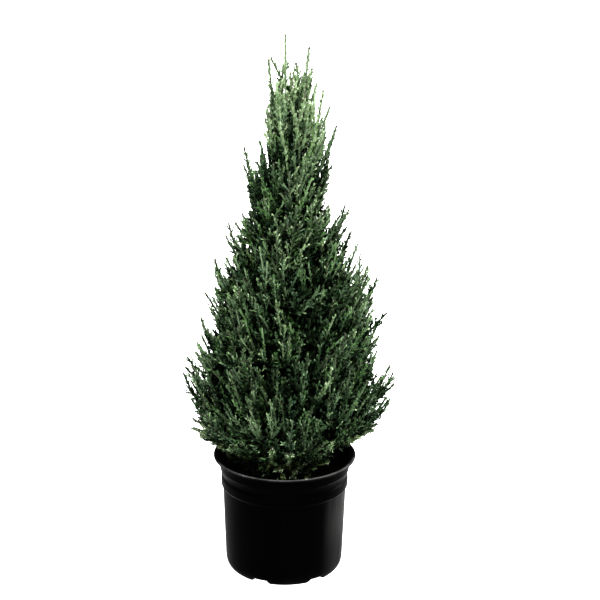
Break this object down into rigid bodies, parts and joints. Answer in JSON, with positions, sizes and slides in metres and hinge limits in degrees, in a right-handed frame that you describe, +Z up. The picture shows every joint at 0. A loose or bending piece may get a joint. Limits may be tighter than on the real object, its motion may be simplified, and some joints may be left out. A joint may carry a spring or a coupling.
{
  "type": "upright juniper in a nursery pot",
  "caption": "Upright conical juniper with layered, ascending masses of needles on tapering boughs and a whole trunk, growing in a black moulded nursery pot.",
  "frame": {"origin": "on the ground under the middle of the pot, which is the middle of the crown too", "axes": "+Z up along the trunk; -Y is the plant's front and +X its right as the front is seen; the pot's feet stand at z = 0"},
  "size_m": [0.4365, 0.436, 1.122],
  "materials": {
    "pot_plastic": "black blow-moulded polyethylene, semi-gloss, lightly scuffed",
    "potting_mix": "damp composted bark",
    "bark": "thin brown bark in lengthwise strips",
    "needles": "dark green scale leaves in ascending sprays",
    "needles_top": "lighter green young scale leaves"
  },
  "bodies": {
    "root": {"bough_middle_1": "bark", "bough_middle_2": "bark", "bough_middle_3": "bark", "bough_middle_4": "bark", "bough_middle_5": "bark", "bough_neck_1": "bark", "bough_neck_2": "bark", "bough_neck_3": "bark", "bough_shoulder_1": "bark", "bough_shoulder_2": "bark", "bough_shoulder_3": "bark", "bough_shoulder_4": "bark", "bough_skirt_1": "bark", "bough_skirt_2": "bark", "bough_skirt_3": "bark", "bough_skirt_4": "bark", "bough_skirt_5": "bark", "bough_skirt_6": "bark", "bough_spire_1": "bark", "bough_spire_2": "bark", "bough_spire_3": "bark", "bough_top_1": "bark", "bough_top_2": "bark", "bough_top_3": "bark", "bough_upper_1": "bark", "bough_upper_2": "bark", "bough_upper_3": "bark", "bough_upper_4": "bark", "mass_leader": "needles_top", "mass_middle_1": "needles", "mass_middle_2": "needles", "mass_middle_3": "needles", "mass_middle_4": "needles", "mass_middle_5": "needles", "mass_neck_1": "needles", "mass_neck_2": "needles", "mass_neck_3": "needles", "mass_shoulder_1": "needles", "mass_shoulder_2": "needles", "mass_shoulder_3": "needles", "mass_shoulder_4": "needles", "mass_skirt_1": "needles", "mass_skirt_2": "needles", "mass_skirt_3": "needles", "mass_skirt_4": "needles", "mass_skirt_5": "needles", "mass_skirt_6": "needles", "mass_spire_1": "needles_top", "mass_spire_2": "needles_top", "mass_spire_3": "needles_top", "mass_top_1": "needles_top", "mass_top_2": "needles_top", "mass_top_3": "needles_top", "mass_upper_1": "needles", "mass_upper_2": "needles", "mass_upper_3": "needles", "mass_upper_4": "needles", "pot": "pot_plastic", "potting_mix": "potting_mix", "trunk": "bark"}
  },
  "joints": []
}
